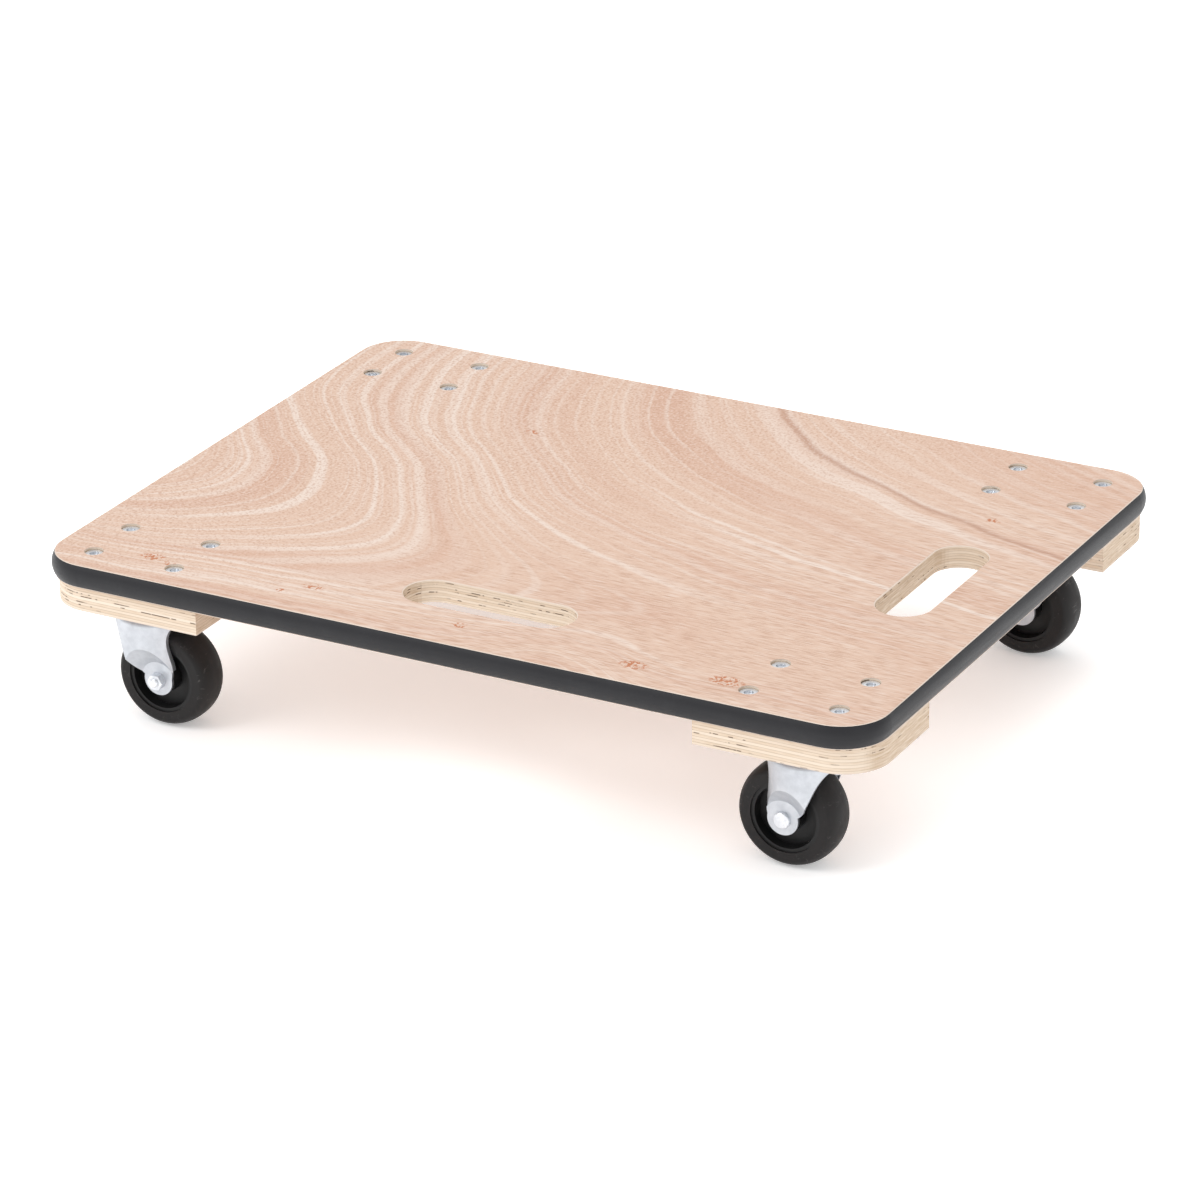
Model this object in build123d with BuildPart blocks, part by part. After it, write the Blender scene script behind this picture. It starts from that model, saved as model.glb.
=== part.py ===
from build123d import *

import os

# Small platform trolley: a plywood deck with two hand holes, a black edge band
# and four swivel casters bolted on through corner blocks.
# Millimetres. Origin on the floor under the deck's centre, +X along the long side, +Z up.

# Deck board
deck_length = 600.0
deck_width = 450.0
deck_thickness = 16.0
deck_corner_radius = 32.0
deck_edge_bevel = 0.5
deck_top = 121.5
deck_bottom = deck_top - deck_thickness

# Hand holes: round-ended slots straight through the deck
hand_hole_length = 122.0
hand_hole_width = 37.5
hand_hole_bevel = 0.6
front_hole_centre = (2.0, -158.0)
side_hole_centre = (238.0, 2.0)

# Edge band: a D-shaped moulding whose barbed tongue sits in a groove round the deck
band_height = 15.2
band_bulge = 2.3
band_seam = 0.4
band_middle = deck_top - deck_thickness / 2
tongue_length = 8.0
tongue_thickness = 1.6
barb_count = 3
barb_pitch = 2.2
barb_height = 0.25
groove_depth = 9.0
groove_width = 2.2

# Corner blocks under the deck
block_length = 120.0
block_width = 87.0
block_thickness = 18.0
block_inset = 3.5
block_bottom = deck_bottom - block_thickness

# Caster places, and the direction in which each wheel trails along X
swivel_x = 239.5
swivel_y = 178.5
casters = {
    "front_left": (-swivel_x, -swivel_y, 1),
    "front_right": (swivel_x, -swivel_y, -1),
    "rear_left": (-swivel_x, swivel_y, 1),
    "rear_right": (swivel_x, swivel_y, -1),
}

# Fasteners: an M6 bolt from below into a flanged nut let into the deck, four to a caster
bolt_spacing_x = 62.0
bolt_spacing_y = 44.0
bolt_radius = 3.0
bolt_length = 35.0
bolt_hole_radius = 3.3
hex_across_flats = 10.0
hex_corner_radius = hex_across_flats / 3**0.5
bolt_head_height = 4.0
washer_thickness = 1.6
washer_radius = 5.2
washer_bore_radius = 3.1
washer_split = 0.8
nut_flange_radius = 6.3
nut_flange_thickness = 1.2
nut_barrel_radius = 4.0
nut_barrel_length = 12.0
nut_bore_radius = 3.05
counterbore_radius = 6.5
counterbore_depth = 2.8
barrel_hole_radius = 4.05

# Caster top plate
plate_length = 82.0
plate_width = 62.0
plate_thickness = 2.3
plate_corner_radius = 7.0
plate_bottom = block_bottom - plate_thickness
skirt_outer_radius = 25.3
skirt_inner_radius = 23.4
skirt_height = 3.2

# Fork: a round drawn cup whose walls run down as legs, pressed flat round the axle
fork_sheet = 2.0
crown_radius = 26.4
crown_top = 79.3
crown_bottom = crown_top - fork_sheet
crown_shoulder = 4.3
crown_lip_bottom = 75.4
crown_hole_radius = 6.5
pad_outer = 16.3
pad_inner = pad_outer - fork_sheet
pad_radius = 10.6
dart_radius = 12.8
dart_slope = 1.3
dart_depth = 14.0

# Wheel and axle
wheel_radius = 35.0
wheel_width = 27.0
trail = 10.5
axle_radius = 3.0
axle_hole_radius = 3.05
axle_head_radius = 5.5
axle_head_height = 2.5
axle_nut_height = 5.0
axle_end_proud = 1.5
sleeve_bore_radius = 3.05
sleeve_radius = 4.5
hub_bore_radius = 4.56
hub_radius = 11.0
hub_width = 27.6
web_thickness = 9.0
rim_inner_radius = 21.5
rim_radius = 24.0
rim_width = 24.6
rib_radius = 26.5
rib_width = 10.0
shoulder_width = 12.0
shoulder_drop = 5.6

# Swivel bearing: large balls above the crown, small balls below it
upper_ball_radius = 3.0
upper_ball_count = 20
upper_track_radius = 20.0
upper_ball_height = (plate_bottom + crown_top) / 2
lower_ball_radius = 1.75
lower_ball_count = 16
lower_track_radius = 10.0
lower_ball_height = 75.7
seat_clearance = 0.05
running_clearance = 0.08
race_top = 74.25
race_bottom = 72.6
race_radius = 13.5
race_lip_thickness = 1.2
race_lip_top = 76.3
kingpin_radius = 5.0
kingpin_hole_radius = 5.03
kingpin_head_radius = 8.5
kingpin_head_bottom = 71.1
kingpin_rivet_radius = 6.5
kingpin_rivet_depth = 1.4

os.makedirs("parts", exist_ok=True)


def side_plane(x, y, way):
    """Upright plane through a caster's swivel axis: local X is the trail, local Y is height."""
    return Plane(origin=(x, y, 0), x_dir=(way, 0, 0), z_dir=(0, -way, 0))


def axle_plane(x, y, way, offset=0.0):
    """Upright plane square to a wheel's axle, offset along it from the wheel's middle."""
    return Plane(
        origin=(x + way * trail, y + way * offset, wheel_radius),
        x_dir=(way, 0, 0),
        z_dir=(0, way, 0),
    )


def wheel_section(x, y, way):
    """Plane holding a wheel's half section: local X runs along the axle, local Y is radius."""
    return Plane(
        origin=(x + way * trail, y, wheel_radius), x_dir=(0, way, 0), z_dir=(way, 0, 0)
    )


def wheel_axis(x, y, way):
    return Axis((x + way * trail, y, wheel_radius), (0, 1, 0))


def cup_form(x, y, way, radius, top, shoulder, flat, flat_radius):
    """Solid drum on the swivel axis with a tapered flat dart on each side round the axle."""
    with BuildPart() as form:
        with BuildSketch(Plane((x, y, 0))):
            Circle(radius)
        extrude(amount=top)
        fillet(form.edges().group_by(Axis.Z)[-1], shoulder)
        with BuildSketch(axle_plane(x, y, way)):
            Circle(flat_radius)
        extrude(amount=flat, both=True)
        for side in (-1, 1):
            flat_plane = axle_plane(x, y, way, side * flat)
            with BuildSketch(flat_plane):
                Circle(flat_radius)
            with BuildSketch(flat_plane.offset(side * dart_depth)):
                Circle(flat_radius + dart_slope * dart_depth)
            loft(mode=Mode.SUBTRACT)
    return form.part


bolt_points = [
    (x + i * bolt_spacing_x / 2, y + j * bolt_spacing_y / 2)
    for x, y, way in casters.values()
    for i in (-1, 1)
    for j in (-1, 1)
]

# Deck board
with BuildPart() as deck_board:
    with BuildSketch(Plane.XY.offset(deck_bottom)):
        RectangleRounded(deck_length, deck_width, deck_corner_radius)
    extrude(amount=deck_thickness)
    chamfer(deck_board.faces().sort_by(Axis.Z)[-1].edges(), deck_edge_bevel)
    with BuildSketch(Plane.XY.offset(deck_bottom)):
        with Locations(front_hole_centre):
            SlotOverall(hand_hole_length, hand_hole_width)
        with Locations(side_hole_centre):
            SlotOverall(hand_hole_length, hand_hole_width, rotation=90)
    extrude(amount=deck_thickness, mode=Mode.SUBTRACT)
    for face in (deck_board.faces().sort_by(Axis.Z)[0], deck_board.faces().sort_by(Axis.Z)[-1]):
        chamfer([wire.edges() for wire in face.inner_wires()], hand_hole_bevel)
    with BuildSketch(Plane.XY.offset(band_middle - groove_width / 2)):
        RectangleRounded(deck_length, deck_width, deck_corner_radius)
        RectangleRounded(
            deck_length - 2 * groove_depth,
            deck_width - 2 * groove_depth,
            deck_corner_radius - groove_depth,
            mode=Mode.SUBTRACT,
        )
    extrude(amount=groove_width, mode=Mode.SUBTRACT)
    with Locations(*[(x, y, deck_top) for x, y in bolt_points]):
        CounterBoreHole(barrel_hole_radius, counterbore_radius, counterbore_depth)
deck_board.part.label = "deck_board"
export_step(deck_board.part, "parts/deck_board.step")

# Edge band, swept round the deck's rim, with its ends meeting behind the back edge
with BuildSketch(Plane.XY.offset(band_middle)) as rim:
    RectangleRounded(deck_length, deck_width, deck_corner_radius)
rim_path = rim.sketch.face().outer_wire()
rim_way = rim_path % 0
with BuildPart() as edge_band:
    # the section's local X points out of the deck
    with BuildSketch(Plane(rim_path @ 0, x_dir=rim_way.cross(Vector(0, 0, 1)), z_dir=rim_way)):
        with BuildLine():
            ThreePointArc((0, -band_height / 2), (band_bulge, 0), (0, band_height / 2))
            Line((0, band_height / 2), (0, -band_height / 2))
        make_face()
        with Locations((-tongue_length / 2, 0)):
            Rectangle(tongue_length, tongue_thickness)
        for k in range(barb_count):
            root = -tongue_length + k * barb_pitch
            tip = tongue_thickness / 2 + barb_height
            with BuildLine():
                Polyline(
                    (root, 0),
                    (root + barb_pitch / 2, tip),
                    (root + barb_pitch / 2, -tip),
                    close=True,
                )
            make_face()
    sweep(path=rim_path)
    with Locations((0, deck_width / 2, band_middle)):
        Box(band_seam, 2 * (tongue_length + band_bulge), band_height, mode=Mode.SUBTRACT)
edge_band.part.label = "edge_band"
export_step(edge_band.part, "parts/edge_band.step")

# Corner blocks, flush with the deck's ends and a little inside its long edges
for corner, (x, y, way) in casters.items():
    out_x = 1 if x > 0 else -1
    out_y = 1 if y > 0 else -1
    block_x = out_x * (deck_length - block_length) / 2
    block_y = out_y * (deck_width / 2 - block_inset - block_width / 2)
    with BuildPart() as corner_block:
        with BuildSketch(Plane((block_x, block_y, block_bottom))):
            Rectangle(block_length, block_width)
        extrude(amount=block_thickness)
        outer_corner = corner_block.edges().filter_by(Axis.Z).sort_by(Axis((0, 0, 0), (out_x, out_y, 0)))
        fillet(outer_corner[-1], deck_corner_radius)
        with BuildSketch(Plane((x, y, block_bottom))):
            with GridLocations(bolt_spacing_x, bolt_spacing_y, 2, 2):
                Circle(bolt_hole_radius)
        extrude(amount=block_thickness, mode=Mode.SUBTRACT)
    corner_block.part.label = f"corner_block_{corner}"
    export_step(corner_block.part, f"parts/corner_block_{corner}.step")

# Flanged nuts let into the deck
flange_bottom = deck_top - counterbore_depth
with BuildPart() as t_nuts:
    with BuildSketch(Plane.XY.offset(flange_bottom)):
        with Locations(*bolt_points):
            Circle(nut_flange_radius)
    extrude(amount=nut_flange_thickness)
    fillet(t_nuts.edges().group_by(Axis.Z)[-1], nut_flange_thickness / 3)
    with BuildSketch(Plane.XY.offset(flange_bottom)):
        with Locations(*bolt_points):
            Circle(nut_barrel_radius)
    extrude(amount=-(nut_barrel_length - nut_flange_thickness))
    with BuildSketch(Plane.XY.offset(flange_bottom + nut_flange_thickness)):
        with Locations(*bolt_points):
            Circle(nut_bore_radius)
    extrude(amount=-nut_barrel_length, mode=Mode.SUBTRACT)
t_nuts.part.label = "t_nuts"
export_step(t_nuts.part, "parts/t_nuts.step")

# Plate bolts, heads down, each on a spring washer
washer_bottom = plate_bottom - washer_thickness
head_bottom = washer_bottom - bolt_head_height
with BuildPart() as plate_bolts:
    with BuildSketch(Plane.XY.offset(head_bottom)):
        with Locations(*bolt_points):
            Circle(hex_corner_radius)
    extrude(amount=bolt_head_height)
    chamfer(plate_bolts.edges().group_by(Axis.Z)[0], 0.5)
    with BuildSketch(Plane.XY.offset(head_bottom)):
        with Locations(*bolt_points):
            RegularPolygon(hex_across_flats / 2, 6, major_radius=False)
    extrude(amount=bolt_head_height, mode=Mode.INTERSECT)
    with BuildSketch(Plane.XY.offset(washer_bottom)):
        with Locations(*bolt_points):
            Circle(bolt_radius)
    extrude(amount=bolt_length)
    chamfer(plate_bolts.edges().group_by(Axis.Z)[-1], 0.6)
plate_bolts.part.label = "plate_bolts"
export_step(plate_bolts.part, "parts/plate_bolts.step")

with BuildPart() as spring_washers:
    with BuildSketch(Plane.XY.offset(washer_bottom)):
        with Locations(*bolt_points):
            Circle(washer_radius)
            Circle(washer_bore_radius, mode=Mode.SUBTRACT)
        with Locations(*[(x + washer_radius, y) for x, y in bolt_points]):
            Rectangle(2 * washer_bore_radius, washer_split, mode=Mode.SUBTRACT)
    extrude(amount=washer_thickness)
spring_washers.part.label = "spring_washers"
export_step(spring_washers.part, "parts/spring_washers.step")

# Casters
for corner, (x, y, way) in casters.items():
    upper_track = (x, y, upper_ball_height)
    lower_track = (x, y, lower_ball_height)

    with BuildPart() as top_plate:
        with BuildSketch(Plane((x, y, plate_bottom))):
            RectangleRounded(plate_length, plate_width, plate_corner_radius)
            with GridLocations(bolt_spacing_x, bolt_spacing_y, 2, 2):
                Circle(bolt_hole_radius, mode=Mode.SUBTRACT)
        extrude(amount=plate_thickness)
        with BuildSketch(Plane((x, y, plate_bottom))):
            Circle(skirt_outer_radius)
            Circle(skirt_inner_radius, mode=Mode.SUBTRACT)
        extrude(amount=-skirt_height)
        with BuildSketch(Plane((x, y, plate_bottom))):
            Circle(kingpin_hole_radius)
        extrude(amount=plate_thickness, mode=Mode.SUBTRACT)
        with BuildSketch(Plane((x, y, block_bottom))):
            Circle(kingpin_rivet_radius + seat_clearance)
        with BuildSketch(Plane((x, y, block_bottom - kingpin_rivet_depth))):
            Circle(kingpin_hole_radius)
        loft(mode=Mode.SUBTRACT)
        with Locations(upper_track):
            Torus(upper_track_radius, upper_ball_radius + running_clearance, mode=Mode.SUBTRACT)
    top_plate.part.label = f"top_plate_{corner}"
    export_step(top_plate.part, f"parts/top_plate_{corner}.step")

    with BuildPart() as kingpin:
        with BuildSketch(Plane((x, y, kingpin_head_bottom))):
            Circle(kingpin_head_radius)
        extrude(amount=race_bottom - kingpin_head_bottom)
        chamfer(kingpin.edges().group_by(Axis.Z)[0], 0.5)
        with BuildSketch(Plane((x, y, race_bottom))):
            Circle(kingpin_radius)
        extrude(amount=block_bottom - race_bottom)
        with BuildSketch(Plane((x, y, block_bottom))):
            Circle(kingpin_rivet_radius)
        with BuildSketch(Plane((x, y, block_bottom - kingpin_rivet_depth))):
            Circle(kingpin_radius)
        loft()
    kingpin.part.label = f"kingpin_{corner}"
    export_step(kingpin.part, f"parts/kingpin_{corner}.step")

    with BuildPart() as lower_race:
        with BuildSketch(Plane((x, y, race_bottom))):
            Circle(race_radius)
        extrude(amount=race_lip_top - race_bottom)
        with BuildSketch(Plane((x, y, race_top))):
            Circle(race_radius - race_lip_thickness)
        extrude(amount=race_lip_top - race_top, mode=Mode.SUBTRACT)
        with BuildSketch(Plane((x, y, race_bottom))):
            Circle(kingpin_hole_radius)
        extrude(amount=race_lip_top - race_bottom, mode=Mode.SUBTRACT)
        with Locations(lower_track):
            Torus(lower_track_radius, lower_ball_radius + running_clearance, mode=Mode.SUBTRACT)
    lower_race.part.label = f"lower_race_{corner}"
    export_step(lower_race.part, f"parts/lower_race_{corner}.step")

    # The cup's outer form less its inner form leaves the sheet, cut to the legs' outline
    outer_form = cup_form(x, y, way, crown_radius, crown_top, crown_shoulder, pad_outer, dart_radius)
    inner_form = cup_form(
        x,
        y,
        way,
        crown_radius - fork_sheet,
        crown_bottom,
        crown_shoulder - fork_sheet,
        pad_inner,
        dart_radius + fork_sheet * ((1 + dart_slope**2) ** 0.5 - dart_slope),
    )
    with BuildPart() as fork:
        add(outer_form)
        add(inner_form, mode=Mode.SUBTRACT)
        with BuildSketch(side_plane(x, y, way)):
            with BuildLine():
                pad_arc = CenterArc((trail, wheel_radius), pad_radius, 165, 207)
                Spline(pad_arc @ 0, (-7.2, 46.5), (-14.5, 63.2), (-19.0, 71.0), (-24.0, crown_lip_bottom))
                Polyline(
                    (-24.0, crown_lip_bottom),
                    (-crown_radius, crown_lip_bottom),
                    (-crown_radius, crown_top),
                    (crown_radius, crown_top),
                    (crown_radius, crown_lip_bottom),
                    (23.0, crown_lip_bottom),
                )
                Spline((23.0, crown_lip_bottom), (20.5, 71.5), (20.0, 55.0), pad_arc @ 1)
            make_face()
        extrude(amount=crown_radius, both=True, mode=Mode.INTERSECT)
        with BuildSketch(Plane((x, y, crown_bottom))):
            Circle(crown_hole_radius)
        extrude(amount=fork_sheet, mode=Mode.SUBTRACT)
        with BuildSketch(axle_plane(x, y, way)):
            Circle(axle_hole_radius)
        extrude(amount=pad_outer, both=True, mode=Mode.SUBTRACT)
        with Locations(upper_track):
            Torus(upper_track_radius, upper_ball_radius + seat_clearance, mode=Mode.SUBTRACT)
        with Locations(lower_track):
            Torus(lower_track_radius, lower_ball_radius + seat_clearance, mode=Mode.SUBTRACT)
    fork.part.label = f"fork_{corner}"
    export_step(fork.part, f"parts/fork_{corner}.step")

    with BuildPart() as upper_balls:
        with Locations(upper_track):
            with PolarLocations(upper_track_radius, upper_ball_count):
                Sphere(upper_ball_radius)
    upper_balls.part.label = f"upper_balls_{corner}"
    export_step(upper_balls.part, f"parts/upper_balls_{corner}.step")

    with BuildPart() as lower_balls:
        with Locations(lower_track):
            with PolarLocations(lower_track_radius, lower_ball_count):
                Sphere(lower_ball_radius)
    lower_balls.part.label = f"lower_balls_{corner}"
    export_step(lower_balls.part, f"parts/lower_balls_{corner}.step")

    with BuildPart() as axle_bolt:
        with BuildSketch(axle_plane(x, y, way, pad_outer)):
            Circle(axle_head_radius)
        extrude(amount=axle_head_height)
        head_face = axle_bolt.faces().sort_by(Axis((x, y, 0), (0, way, 0)))[-1]
        fillet(head_face.edges(), 0.8)
        with BuildSketch(axle_plane(x, y, way, pad_outer)):
            Circle(axle_radius)
        extrude(amount=-(2 * pad_outer + axle_nut_height + axle_end_proud))
        end_face = axle_bolt.faces().sort_by(Axis((x, y, 0), (0, way, 0)))[0]
        chamfer(end_face.edges(), 0.6)
    axle_bolt.part.label = f"axle_bolt_{corner}"
    export_step(axle_bolt.part, f"parts/axle_bolt_{corner}.step")

    with BuildPart() as axle_nut:
        with BuildSketch(axle_plane(x, y, way, -pad_outer)):
            Circle(hex_corner_radius)
        extrude(amount=-axle_nut_height)
        chamfer(axle_nut.edges().filter_by(GeomType.CIRCLE), 0.4)
        with BuildSketch(axle_plane(x, y, way, -pad_outer)):
            RegularPolygon(hex_across_flats / 2, 6, major_radius=False)
        extrude(amount=-axle_nut_height, mode=Mode.INTERSECT)
        with BuildSketch(axle_plane(x, y, way, -pad_outer)):
            Circle(axle_radius)
        extrude(amount=-axle_nut_height, mode=Mode.SUBTRACT)
    axle_nut.part.label = f"axle_nut_{corner}"
    export_step(axle_nut.part, f"parts/axle_nut_{corner}.step")

    with BuildPart() as axle_sleeve:
        with BuildSketch(axle_plane(x, y, way)):
            Circle(sleeve_radius)
            Circle(sleeve_bore_radius, mode=Mode.SUBTRACT)
        extrude(amount=pad_inner, both=True)
    axle_sleeve.part.label = f"axle_sleeve_{corner}"
    export_step(axle_sleeve.part, f"parts/axle_sleeve_{corner}.step")

    with BuildPart() as wheel_core:
        with BuildSketch(wheel_section(x, y, way)):
            with Locations((0, (hub_bore_radius + hub_radius) / 2)):
                Rectangle(hub_width, hub_radius - hub_bore_radius)
            with Locations((0, (hub_bore_radius + rim_radius) / 2)):
                Rectangle(web_thickness, rim_radius - hub_bore_radius)
            with Locations((0, (rim_inner_radius + rim_radius) / 2)):
                Rectangle(rim_width, rim_radius - rim_inner_radius)
            with Locations((0, (rim_inner_radius + rib_radius) / 2)):
                Rectangle(rib_width, rib_radius - rim_inner_radius)
        revolve(axis=wheel_axis(x, y, way))
    wheel_core.part.label = f"wheel_core_{corner}"
    export_step(wheel_core.part, f"parts/wheel_core_{corner}.step")

    with BuildPart() as tyre:
        with BuildSketch(wheel_section(x, y, way)):
            with BuildLine():
                half = wheel_width / 2
                Polyline(
                    (-half, wheel_radius - shoulder_drop),
                    (-half, rim_radius),
                    (half, rim_radius),
                    (half, wheel_radius - shoulder_drop),
                )
                EllipticalCenterArc(
                    (half - shoulder_width, wheel_radius - shoulder_drop), shoulder_width, shoulder_drop
                )
                Line((half - shoulder_width, wheel_radius), (shoulder_width - half, wheel_radius))
                EllipticalCenterArc(
                    (shoulder_width - half, wheel_radius - shoulder_drop), shoulder_width, shoulder_drop, 90
                )
            make_face()
            with Locations((0, (rim_radius + rib_radius) / 2)):
                Rectangle(rib_width, rib_radius - rim_radius, mode=Mode.SUBTRACT)
        revolve(axis=wheel_axis(x, y, way))
    tyre.part.label = f"tyre_{corner}"
    export_step(tyre.part, f"parts/tyre_{corner}.step")
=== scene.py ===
import math

import bpy
from mathutils import Matrix, Vector


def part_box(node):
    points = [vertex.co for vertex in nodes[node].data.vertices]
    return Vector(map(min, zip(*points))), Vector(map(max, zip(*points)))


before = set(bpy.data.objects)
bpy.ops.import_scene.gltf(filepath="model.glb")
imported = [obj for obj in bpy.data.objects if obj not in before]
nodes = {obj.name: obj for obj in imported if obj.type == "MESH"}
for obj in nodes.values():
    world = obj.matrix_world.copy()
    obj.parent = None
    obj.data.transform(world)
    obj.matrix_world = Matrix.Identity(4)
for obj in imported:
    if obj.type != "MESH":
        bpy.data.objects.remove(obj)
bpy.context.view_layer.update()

# Looks of a small platform trolley: veneered plywood deck, black edge band, zinc casters.
# Metres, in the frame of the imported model: origin on the floor under the deck's centre.

deck_low, deck_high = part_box("deck_board")
block_low, block_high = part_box("corner_block_front_left")

# Camera: place in metres, angles in degrees, a long lens from the deck's front right
CAMERA_PLACE = (1.554, -2.8485, 1.4938)
CAMERA_HEADING = 28.68
CAMERA_PITCH = -23.82
CAMERA_ROLL = -0.78
LENS_MM = 159.96
SENSOR_MM = 36.0

# Plywood
PLY_COUNT = 9
FACE_PLY = 0.0007

# Veneer figure: where the rings turn round a knot and a swirl, and how wide each spreads
RINGS_LEFT = -0.312
RINGS_FRONT = -0.165
RINGS_NARROWEST = 0.002
FRONT_GRAIN_START = -0.105
FRONT_GRAIN_BLEND = 0.040
KNOT_PLACE = (-0.310, -0.050)
KNOT_SPREAD = (0.130, 0.078)
KNOT_DEPTH = 0.100
SWIRL_PLACE = (0.085, -0.205)
SWIRL_SPREAD = (0.036, 0.030)
SWIRL_HEIGHT = 0.035
GUM_LEVEL = 0.184
GUM_WIDTH = 0.0011

# Resin specks of the veneer: place on the deck and spread
RESIN_SPECKS = (
    (-0.231, -0.191, 0.0060),
    (-0.216, -0.195, 0.0035),
    (-0.112, -0.186, 0.0050),
    (-0.128, -0.200, 0.0030),
    (0.002, -0.196, 0.0040),
    (0.128, -0.200, 0.0065),
    (0.191, -0.195, 0.0080),
    (0.232, 0.109, 0.0040),
    (-0.115, 0.109, 0.0035),
)

# Colours, linear
VENEER_DARK = (0.500, 0.308, 0.226)
VENEER_MID = (0.565, 0.402, 0.312)
VENEER_LIGHT = (0.650, 0.555, 0.490)
VENEER_PORE = (0.400, 0.228, 0.155)
VENEER_GUM = (0.270, 0.120, 0.070)
VENEER_SPECK = (0.400, 0.120, 0.035)
PLY_LIGHT = (0.76, 0.655, 0.545)
PLY_DARK = (0.60, 0.46, 0.33)
PLY_GLUE = (0.33, 0.22, 0.13)
# Painted shade: darker colour for the plywood sides that face along X
PLY_X_FACE_SHADE = (0.46, 0.33, 0.22)
# Painted shade inside the open gaps of the core plies
PLY_VOID_SHADE = (0.10, 0.055, 0.03)
BAND_BLACK = (0.010, 0.010, 0.0125)
BAND_DUST = (0.026, 0.027, 0.031)
RUBBER_BLACK = (0.0065, 0.0055, 0.0055)
RUBBER_BLOOM = (0.020, 0.017, 0.017)
RUBBER_SCUFF = (0.10, 0.095, 0.09)
NYLON_BLACK = (0.006, 0.006, 0.0065)
NYLON_SMEAR = (0.020, 0.018, 0.017)
ZINC = (0.58, 0.60, 0.635)
ZINC_DULL = (0.50, 0.52, 0.555)
ZINC_BRIGHT = (0.80, 0.82, 0.85)
STEEL = (0.60, 0.60, 0.61)
FLOOR_WHITE = (0.93, 0.93, 0.93)
FLOOR_BRIGHT = (0.94, 0.94, 0.94)
WHITE = (1.0, 1.0, 1.0)

# Studio: softbox powers in watts, world and floor glow, half the floor's width
KEY_WATTS = 30.0
TOP_WATTS = 30.0
FILL_WATTS = 3.0
WORLD_STRENGTH = 0.90
FLOOR_GLOW = 0.30
FLOOR_REACH = 12.0


class Graph:
    """A material's node tree, with short calls for the nodes used here."""

    def __init__(self, name):
        self.material = bpy.data.materials.new(name)
        self.material.use_nodes = True
        self.tree = self.material.node_tree
        self.tree.nodes.clear()
        output = self.tree.nodes.new("ShaderNodeOutputMaterial")
        self.shader = self.tree.nodes.new("ShaderNodeBsdfPrincipled")
        self.tree.links.new(self.shader.outputs[0], output.inputs[0])
        place = self.tree.nodes.new("ShaderNodeTexCoord").outputs["Object"]
        self.place = place
        split = self.tree.nodes.new("ShaderNodeSeparateXYZ")
        self.tree.links.new(place, split.inputs[0])
        self.x, self.y, self.z = split.outputs

    def feed(self, socket, value):
        """Links a socket to another node's output, or sets it."""
        if isinstance(value, bpy.types.NodeSocket):
            self.tree.links.new(value, socket)
        elif isinstance(value, tuple) and len(socket.default_value) == 4:
            socket.default_value = (*value, 1.0)
        else:
            socket.default_value = value

    def set(self, **values):
        """Sets sockets of the Principled shader; underscores stand for spaces."""
        for name, value in values.items():
            self.feed(self.shader.inputs[name.replace("_", " ")], value)

    def math(self, operation, *values):
        node = self.tree.nodes.new("ShaderNodeMath")
        node.operation = operation
        for socket, value in zip(node.inputs, values):
            self.feed(socket, value)
        return node.outputs[0]

    def add(self, a, b):
        return self.math("ADD", a, b)

    def sub(self, a, b):
        return self.math("SUBTRACT", a, b)

    def mul(self, a, b):
        return self.math("MULTIPLY", a, b)

    def step(self, value, low, high, to_low=0.0, to_high=1.0):
        """Smooth step from to_low at low to to_high at high."""
        node = self.tree.nodes.new("ShaderNodeMapRange")
        node.interpolation_type = "SMOOTHSTEP"
        for socket, v in zip(node.inputs, (value, low, high, to_low, to_high)):
            self.feed(socket, v)
        return node.outputs[0]

    def point(self, x, y, z):
        node = self.tree.nodes.new("ShaderNodeCombineXYZ")
        for socket, v in zip(node.inputs, (x, y, z)):
            self.feed(socket, v)
        return node.outputs[0]

    def stretch(self, vector, factors):
        node = self.tree.nodes.new("ShaderNodeVectorMath")
        node.operation = "MULTIPLY"
        self.feed(node.inputs[0], vector)
        node.inputs[1].default_value = factors
        return node.outputs[0]

    def noise(self, vector, scale, detail=2.0, roughness=0.5, distortion=0.0):
        node = self.tree.nodes.new("ShaderNodeTexNoise")
        self.feed(node.inputs["Vector"], vector)
        node.inputs["Scale"].default_value = scale
        node.inputs["Detail"].default_value = detail
        node.inputs["Roughness"].default_value = roughness
        node.inputs["Distortion"].default_value = distortion
        return node.outputs["Fac"]

    def mix(self, factor, a, b):
        node = self.tree.nodes.new("ShaderNodeMix")
        node.data_type = "RGBA"
        for socket, v in zip((node.inputs[0], node.inputs[6], node.inputs[7]), (factor, a, b)):
            self.feed(socket, v)
        return node.outputs[2]

    def facing(self, axis):
        """How squarely the face looks along an axis, either way, 0 to 1; X is 0 and Z is 2."""
        split = self.tree.nodes.new("ShaderNodeSeparateXYZ")
        geometry = self.tree.nodes.new("ShaderNodeNewGeometry")
        turn = self.tree.nodes.new("ShaderNodeVectorTransform")
        turn.vector_type = "NORMAL"
        turn.convert_from = "WORLD"
        turn.convert_to = "OBJECT"
        self.tree.links.new(geometry.outputs["True Normal"], turn.inputs[0])
        self.tree.links.new(turn.outputs[0], split.inputs[0])
        return self.math("ABSOLUTE", split.outputs[axis])

    def bump(self, height, distance, strength=1.0):
        node = self.tree.nodes.new("ShaderNodeBump")
        node.inputs["Strength"].default_value = strength
        node.inputs["Distance"].default_value = distance
        self.feed(node.inputs["Height"], height)
        self.feed(self.shader.inputs["Normal"], node.outputs[0])


def hump(g, x, y, centre, spread):
    """Smooth round hump of height 1 at a point of the deck."""
    along = g.mul(g.sub(x, centre[0]), 1 / spread[0])
    across = g.mul(g.sub(y, centre[1]), 1 / spread[1])
    return g.math("EXPONENT", g.mul(g.add(g.mul(along, along), g.mul(across, across)), -0.5))


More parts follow.
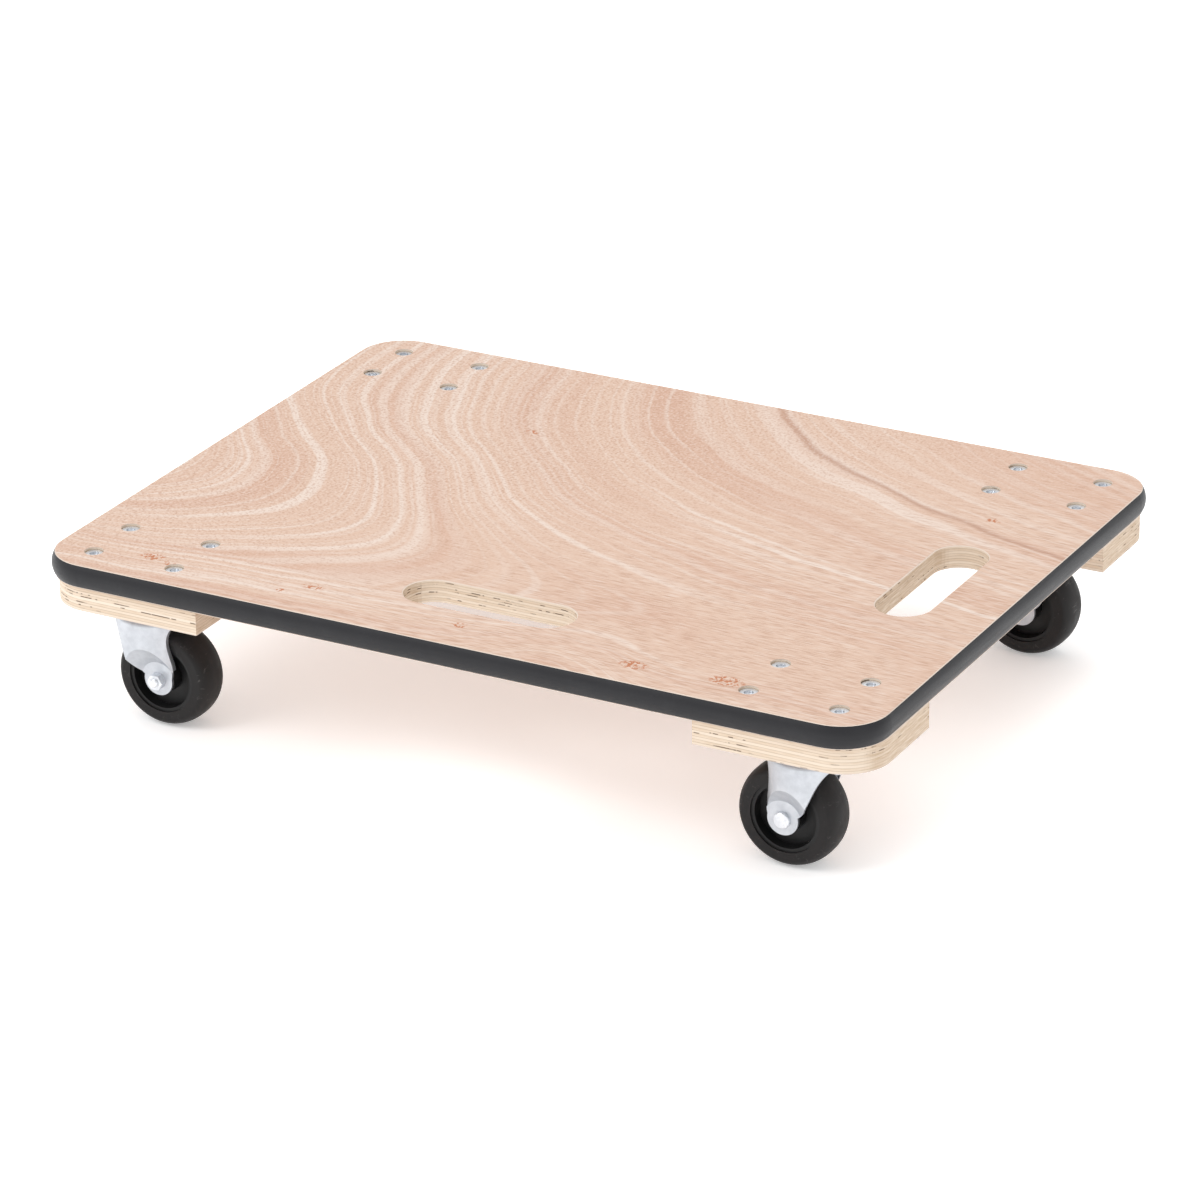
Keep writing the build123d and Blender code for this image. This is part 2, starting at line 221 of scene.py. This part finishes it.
def veneer_figure(g):
    """Height field whose level lines are the growth rings that the peeler's knife laid bare."""
    warp_x = g.mul(g.sub(g.noise(g.place, 5.0, 2.0), 0.5), 0.050)
    warp_y = g.mul(g.sub(g.noise(g.stretch(g.place, (1.0, 1.0, 7.0)), 6.5, 3.0), 0.5), 0.032)
    x = g.add(g.x, warp_x)
    y = g.add(g.y, warp_y)
    across = g.math("MAXIMUM", g.sub(x, RINGS_LEFT), RINGS_NARROWEST)
    lift = g.add(-RINGS_FRONT, g.mul(g.mul(across, across), 0.06))
    above = g.math("MAXIMUM", g.add(y, lift), RINGS_NARROWEST)
    sweep = g.math("DIVIDE", g.mul(across, above), g.add(across, above))
    down = g.sub(FRONT_GRAIN_START, y)
    softened = g.math("SQRT", g.add(g.mul(down, down), FRONT_GRAIN_BLEND**2))
    ramp = g.mul(g.add(down, softened), 0.5)
    knot = g.mul(hump(g, x, y, KNOT_PLACE, KNOT_SPREAD), -KNOT_DEPTH)
    swirl = g.mul(hump(g, x, y, SWIRL_PLACE, SWIRL_SPREAD), SWIRL_HEIGHT)
    return g.add(g.add(sweep, ramp), g.add(knot, swirl))


def veneer_colour(g):
    """Rotary-cut veneer: light rings round a knot, a dark gum line, short pores and resin specks."""
    figure = veneer_figure(g)
    along = g.mul(g.add(g.x, g.mul(g.y, 0.35)), 2.0)
    broad = g.noise(g.point(g.mul(figure, 42.0), along, 0.0), 1.0, 1.5, 0.45)
    ring = g.noise(g.point(g.mul(figure, 230.0), g.mul(along, 1.3), 3.0), 1.0, 1.5, 0.45)
    hair = g.noise(g.point(g.mul(figure, 560.0), g.mul(along, 2.2), 9.0), 1.0, 1.5, 0.5)
    cloud = g.noise(g.place, 8.0, 3.0, 0.55)
    ring_light = g.mul(g.step(ring, 0.52, 0.68), g.step(broad, 0.34, 0.60, 0.40, 1.0))
    hair_light = g.mul(g.step(hair, 0.50, 0.70), g.step(cloud, 0.35, 0.65, 0.30, 0.65))
    light = g.math("MAXIMUM", ring_light, hair_light)
    dark = g.mul(g.step(broad, 0.56, 0.34), g.step(cloud, 0.30, 0.70, 0.55, 1.0))
    colour = g.mix(g.mul(dark, 0.70), VENEER_MID, VENEER_DARK)
    colour = g.mix(g.mul(light, 0.78), colour, VENEER_LIGHT)
    gum = g.mul(g.sub(figure, GUM_LEVEL), 1 / GUM_WIDTH)
    gum = g.mul(g.math("EXPONENT", g.mul(g.mul(gum, gum), -1.0)), g.step(g.x, -0.06, 0.06))
    colour = g.mix(g.mul(gum, 0.45), colour, VENEER_GUM)
    level = g.step(g.sub(g.x, g.y), -0.18, 0.22)
    round_pores = g.noise(g.place, 520.0, 2.0, 0.6)
    long_pores = g.noise(g.stretch(g.place, (75.0, 880.0, 1.0)), 1.0, 2.0, 0.6)
    fleck = g.add(g.mul(long_pores, level), g.mul(round_pores, g.sub(1.0, level)))
    colour = g.mix(g.step(fleck, 0.48, 0.68, 0.0, 0.55), colour, VENEER_PORE)
    colour = g.mix(g.step(fleck, 0.48, 0.30, 0.0, 0.45), colour, VENEER_LIGHT)
    speckle = g.step(g.noise(g.place, 330.0, 2.0, 0.7), 0.44, 0.60)
    for spot in RESIN_SPECKS:
        mark = g.mul(hump(g, g.x, g.y, spot[:2], (spot[2], spot[2] * 0.6)), speckle)
        colour = g.mix(g.step(mark, 0.12, 0.55, 0.0, 0.85), colour, VENEER_SPECK)
    return colour, g.step(fleck, 0.52, 0.70), fleck


def ply_colour(g, bottom, top):
    """Sawn edge of a plywood board between two heights: long-grain and end-grain plies in turn, with
    painted shade on the sides facing along X.
    """
    wave = g.mul(g.sub(g.noise(g.place, 9.0, 2.0), 0.5), 0.0006)
    height = g.mul(g.sub(g.add(g.z, wave), bottom), PLY_COUNT / (top - bottom))
    number = g.math("FLOOR", height)
    within = g.math("FRACT", height)
    alternate = g.math("FRACT", g.mul(number, 0.5))
    end_grain = g.step(alternate, 0.20, 0.30)
    tone = g.noise(g.point(g.mul(g.x, 6.0), g.mul(g.y, 6.0), g.mul(number, 3.7)), 1.0, 2.0, 0.6)
    streak = g.noise(g.stretch(g.place, (90.0, 90.0, 1400.0)), 1.0, 3.0, 0.6)
    colour = g.mix(g.step(tone, 0.25, 0.75, 0.05, 0.45), PLY_LIGHT, PLY_DARK)
    colour = g.mix(g.mul(end_grain, g.step(streak, 0.35, 0.70, 0.15, 0.75)), colour, PLY_DARK)
    edge = g.math("MINIMUM", within, g.sub(1.0, within))
    glue = g.mul(g.step(edge, 0.13, 0.03), g.step(tone, 0.30, 0.60, 0.25, 0.85))
    colour = g.mix(g.mul(glue, 0.75), colour, PLY_GLUE)
    # Painted shade: sides facing along X are darkened towards a shade colour, broken up by the grain
    # streaks
    shade_on_x_faces = g.mul(g.step(g.facing(0), 0.70, 0.95), g.step(streak, 0.30, 0.70, 0.25, 0.80))
    colour = g.mix(shade_on_x_faces, colour, PLY_X_FACE_SHADE)
    # Open gaps in the core plies: dented by the bump, and painted near black as the shade inside
    # them
    gap = g.noise(g.point(g.mul(g.x, 150.0), g.mul(g.y, 150.0), g.mul(number, 5.3)), 1.0, 2.0, 0.6)
    stretch = g.noise(g.point(g.mul(g.x, 16.0), g.mul(g.y, 16.0), g.mul(number, 2.9)), 1.0, 1.0, 0.4)
    void_and_shade = g.mul(g.step(gap, 0.52, 0.58), g.step(within, 0.42, 0.22))
    void_and_shade = g.mul(void_and_shade, g.step(stretch, 0.52, 0.60))
    colour = g.mix(g.mul(void_and_shade, 0.85), colour, PLY_VOID_SHADE)
    skin_low = g.step(g.z, bottom + FACE_PLY, bottom + FACE_PLY * 0.7)
    skin_high = g.step(g.z, top - FACE_PLY, top - FACE_PLY * 0.7)
    skin = g.math("MAXIMUM", skin_low, skin_high)
    colour = g.mix(g.mul(skin, 0.7), colour, VENEER_LIGHT)
    return colour, void_and_shade, streak


def plywood(name, bottom, top):
    """Veneer on the flat faces, sawn plies on everything upright."""
    g = Graph(name)
    veneer, pore, fibre = veneer_colour(g)
    plies, void_and_shade, streak = ply_colour(g, bottom, top)
    flat = g.step(g.facing(2), 0.80, 0.95)
    g.set(Base_Color=g.mix(flat, plies, veneer))
    g.set(Roughness=g.step(fibre, 0.2, 0.8, 0.52, 0.66))
    veneer_height = g.sub(g.mul(fibre, 0.35), g.mul(pore, 0.9))
    ply_height = g.sub(g.mul(streak, 0.5), g.mul(void_and_shade, 3.0))
    upright = g.sub(1.0, flat)
    g.bump(g.add(g.mul(veneer_height, flat), g.mul(ply_height, upright)), 0.00018, 0.8)
    g.shader.inputs["Specular IOR Level"].default_value = 0.28
    return g.material


def edge_band_pvc():
    """Satin black edging with fine drag marks along it and a little dust."""
    g = Graph("edge_band_pvc")
    grain = g.noise(g.place, 1900.0, 2.0, 0.6)
    drag = g.noise(g.stretch(g.place, (14.0, 14.0, 420.0)), 1.0, 2.0, 0.5)
    dust = g.noise(g.place, 45.0, 4.0, 0.7)
    g.set(Base_Color=g.mix(g.step(dust, 0.45, 0.80, 0.0, 0.35), BAND_BLACK, BAND_DUST))
    g.set(Roughness=g.step(g.add(g.mul(grain, 0.6), g.mul(drag, 0.4)), 0.3, 0.7, 0.36, 0.52))
    g.bump(g.add(grain, g.mul(drag, 0.8)), 0.00007, 0.7)
    g.shader.inputs["Specular IOR Level"].default_value = 0.35
    return g.material


def zinc_plate(name, bright, dull, rough):
    """Bright zinc on pressed or turned steel, faintly mottled, with fine drawing marks."""
    g = Graph(name)
    mottle = g.noise(g.place, 160.0, 4.0, 0.65)
    broad = g.noise(g.place, 38.0, 2.0, 0.5)
    marks = g.noise(g.stretch(g.place, (700.0, 700.0, 90.0)), 1.0, 2.0, 0.6)
    blend = g.step(g.add(g.mul(mottle, 0.6), g.mul(broad, 0.4)), 0.32, 0.68)
    g.set(Base_Color=g.mix(blend, dull, bright), Metallic=0.85)
    g.set(Roughness=g.step(mottle, 0.3, 0.7, rough + 0.10, rough - 0.04))
    g.bump(g.add(mottle, g.mul(marks, 0.35)), 0.00008, 0.6)
    return g.material


def tyre_rubber():
    """Moulded rubber with dusty scuffs on the tread and a faint bloom."""
    g = Graph("tyre_rubber")
    grain = g.noise(g.place, 1500.0, 2.0, 0.6)
    bloom = g.noise(g.place, 60.0, 4.0, 0.65)
    scuff_place = g.stretch(g.place, (240.0, 60.0, 240.0))
    scuff = g.step(g.noise(scuff_place, 1.0, 4.0, 0.75, 0.8), 0.60, 0.72)
    colour = g.mix(g.step(bloom, 0.35, 0.75, 0.0, 0.8), RUBBER_BLACK, RUBBER_BLOOM)
    g.set(Base_Color=g.mix(g.mul(scuff, 0.45), colour, RUBBER_SCUFF))
    g.set(Roughness=g.step(bloom, 0.3, 0.7, 0.48, 0.68))
    g.bump(g.add(g.mul(grain, 0.6), scuff), 0.00010, 0.7)
    g.shader.inputs["Specular IOR Level"].default_value = 0.30
    return g.material


def wheel_nylon():
    """Moulded black core, slightly smeared with dust."""
    g = Graph("wheel_nylon")
    grain = g.noise(g.place, 1100.0, 2.0, 0.6)
    smear = g.noise(g.place, 90.0, 4.0, 0.7)
    g.set(Base_Color=g.mix(g.step(smear, 0.45, 0.80, 0.0, 0.6), NYLON_BLACK, NYLON_SMEAR))
    g.set(Roughness=g.step(smear, 0.3, 0.7, 0.38, 0.58))
    g.bump(grain, 0.00008, 0.6)
    g.shader.inputs["Specular IOR Level"].default_value = 0.35
    return g.material


def floor_white():
    """White floor that glows a little, so that shadows stay faint."""
    g = Graph("floor_white")
    cloud = g.noise(g.place, 3.0, 2.0)
    g.set(Base_Color=g.mix(g.step(cloud, 0.3, 0.7), FLOOR_WHITE, FLOOR_BRIGHT), Roughness=0.9)
    g.set(Emission_Color=WHITE, Emission_Strength=FLOOR_GLOW)
    return g.material


def add_camera():
    camera = bpy.data.objects.new("camera", bpy.data.cameras.new("camera"))
    bpy.context.scene.collection.objects.link(camera)
    camera.data.lens = LENS_MM
    camera.data.sensor_width = SENSOR_MM
    camera.data.clip_end = 50.0
    turn = Matrix.Rotation(math.radians(CAMERA_HEADING), 3, "Z")
    tip = Matrix.Rotation(math.radians(90.0 + CAMERA_PITCH), 3, "X")
    roll = Matrix.Rotation(math.radians(CAMERA_ROLL), 3, "Z")
    camera.matrix_world = Matrix.Translation(CAMERA_PLACE) @ (turn @ tip @ roll).to_4x4()
    bpy.context.scene.camera = camera


def add_softbox(name, place, aim, size, watts):
    lamp = bpy.data.objects.new(name, bpy.data.lights.new(name, "AREA"))
    bpy.context.scene.collection.objects.link(lamp)
    lamp.data.shape = "RECTANGLE"
    lamp.data.size, lamp.data.size_y = size
    lamp.data.energy = watts
    lamp.location = place
    lamp.rotation_euler = (Vector(aim) - Vector(place)).to_track_quat("-Z", "Y").to_euler()


def add_lights():
    middle = (0.0, 0.0, 0.08)
    add_softbox("key_light", (-1.5, -1.9, 2.2), middle, (1.6, 1.6), KEY_WATTS)
    add_softbox("top_light", (0.3, 0.6, 2.6), middle, (2.4, 2.4), TOP_WATTS)
    add_softbox("fill_light", (2.4, -1.2, 0.9), middle, (1.4, 1.4), FILL_WATTS)
    world = bpy.data.worlds.new("studio")
    bpy.context.scene.world = world
    world.use_nodes = True
    background = world.node_tree.nodes["Background"]
    background.inputs["Color"].default_value = (*WHITE, 1.0)
    background.inputs["Strength"].default_value = WORLD_STRENGTH
    bpy.context.scene.view_settings.view_transform = "Standard"


def add_floor():
    mesh = bpy.data.meshes.new("floor")
    signs = ((-1, -1), (1, -1), (1, 1), (-1, 1))
    corners = [(x * FLOOR_REACH, y * FLOOR_REACH, 0) for x, y in signs]
    mesh.from_pydata(corners, [], [(0, 1, 2, 3)])
    floor = bpy.data.objects.new("floor", mesh)
    bpy.context.scene.collection.objects.link(floor)
    mesh.materials.append(floor_white())


def dress(prefix, material):
    """Gives a material to every CAD node whose name starts with prefix."""
    for name, node in nodes.items():
        if name.startswith(prefix):
            node.data.materials.clear()
            node.data.materials.append(material)


def dress_all():
    zinc = zinc_plate("zinc_pressed", ZINC, ZINC_DULL, 0.40)
    turned = zinc_plate("zinc_turned", ZINC_BRIGHT, ZINC, 0.27)
    ball_steel = zinc_plate("ball_steel", STEEL, STEEL, 0.16)
    dress("deck_board", plywood("deck_plywood", deck_low.z, deck_high.z))
    dress("corner_block", plywood("block_plywood", block_low.z, block_high.z))
    dress("edge_band", edge_band_pvc())
    for prefix in ("top_plate", "fork", "lower_race"):
        dress(prefix, zinc)
    for prefix in ("t_nuts", "plate_bolts", "spring_washers", "kingpin", "axle_"):
        dress(prefix, turned)
    for prefix in ("upper_balls", "lower_balls"):
        dress(prefix, ball_steel)
    dress("wheel_core", wheel_nylon())
    dress("tyre", tyre_rubber())


add_camera()
add_lights()
add_floor()
dress_all()
